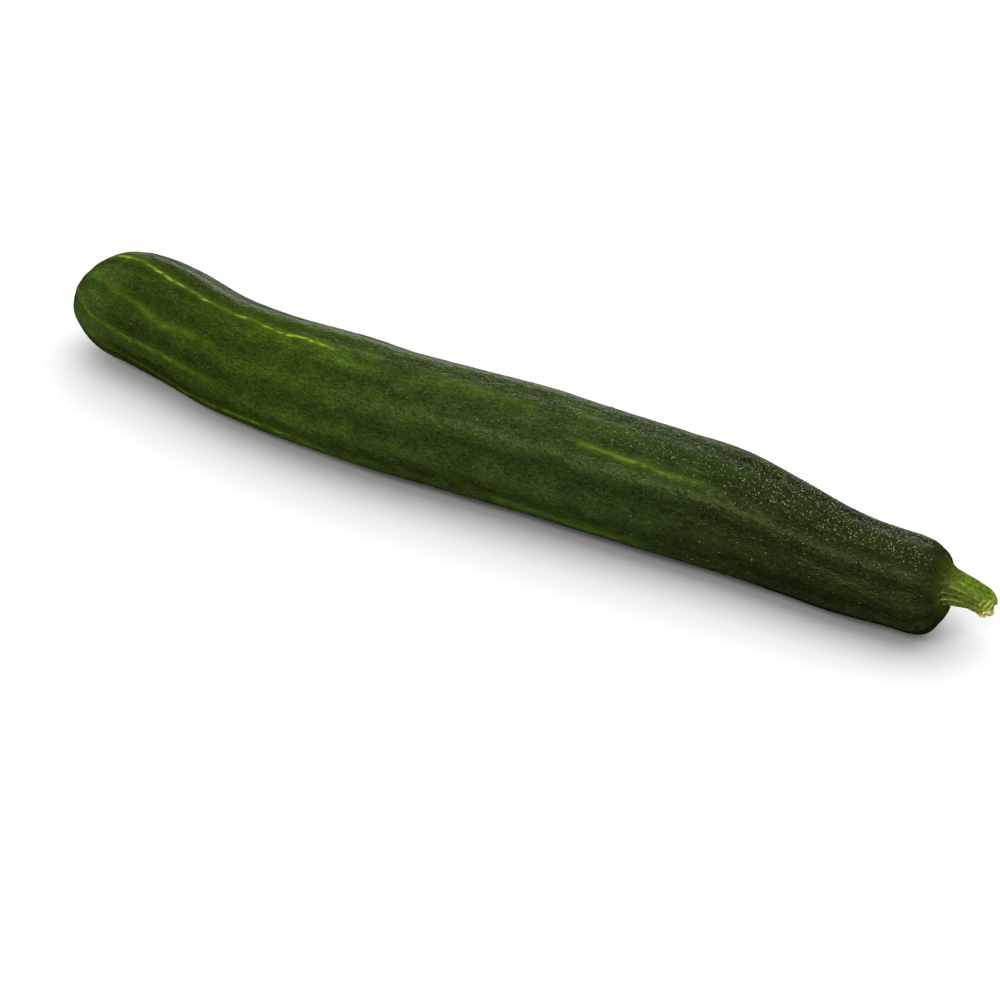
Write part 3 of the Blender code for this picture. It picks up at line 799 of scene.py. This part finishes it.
deselect_everything()
bpy.ops.mesh.primitive_plane_add(size=8.0, location=(0.0, 0.0, 0.0))
table = bpy.context.object
table.name = "table"
board = bpy.data.materials.new("matt_white_board")
board.use_nodes = True
board_shader = board.node_tree.nodes["Principled BSDF"]
board_shader.inputs["Base Color"].default_value = (0.86, 0.86, 0.86, 1.0)
board_shader.inputs["Roughness"].default_value = 0.9
table.data.materials.append(board)


def soft_light(name, width, depth, power, location, aim):
    """A rectangular soft light at a place, turned to face a point, its width level."""
    bpy.ops.object.light_add(type="AREA", location=location)
    lamp = bpy.context.object
    lamp.name = name
    lamp.data.shape = "RECTANGLE"
    lamp.data.size = width
    lamp.data.size_y = depth
    lamp.data.energy = power
    away = Vector(location) - Vector(aim)
    lamp.rotation_euler = away.to_track_quat("Z", "Y").to_euler()
    return lamp


overhead = soft_light("overhead", 3.4, 3.4, 51.0, (0.10, 0.50, 1.90), (0.0, 0.0, 0.0))
overhead.visible_glossy = False
soft_light("behind", 1.3, 0.14, 1.7, (-0.60, 1.30, 0.09), (0.0, 0.0, 0.02))
soft_light("back_left", 0.4, 0.30, 0.75, (-0.58, 1.15, 0.36), (0.0, 0.0, 0.02))
soft_light("front", 0.44, 0.22, 3.3, (-0.06, -0.87, 0.92), (0.13, 0.0, 0.03))
table.visible_glossy = False
studio = bpy.data.worlds.new("white_studio")
bpy.context.scene.world = studio
studio.use_nodes = True
background = studio.node_tree.nodes["Background"]
background.inputs["Color"].default_value = (1.0, 1.0, 1.0, 1.0)
background.inputs["Strength"].default_value = 0.56
studio.cycles_visibility.glossy = False
bpy.context.scene.view_settings.view_transform = "Standard"

# The camera: an 85 mm lens, 0.80 m away, 31 degrees round towards the stem and 36 degrees up.
CAMERA_AZIMUTH, CAMERA_ELEVATION = math.radians(31), math.radians(36)
CAMERA_DISTANCE = 0.8036
CAMERA_AIM = Vector((0.0214, -0.0289, 0.0200))
away = Vector((
    math.sin(CAMERA_AZIMUTH) * math.cos(CAMERA_ELEVATION),
    -math.cos(CAMERA_AZIMUTH) * math.cos(CAMERA_ELEVATION),
    math.sin(CAMERA_ELEVATION),
))
bpy.ops.object.camera_add(location=CAMERA_AIM + away * CAMERA_DISTANCE)
camera = bpy.context.object
camera.data.lens = 85.0
camera.data.sensor_width = 36.0
camera.rotation_euler = away.to_track_quat("Z", "Y").to_euler()
bpy.context.scene.camera = camera
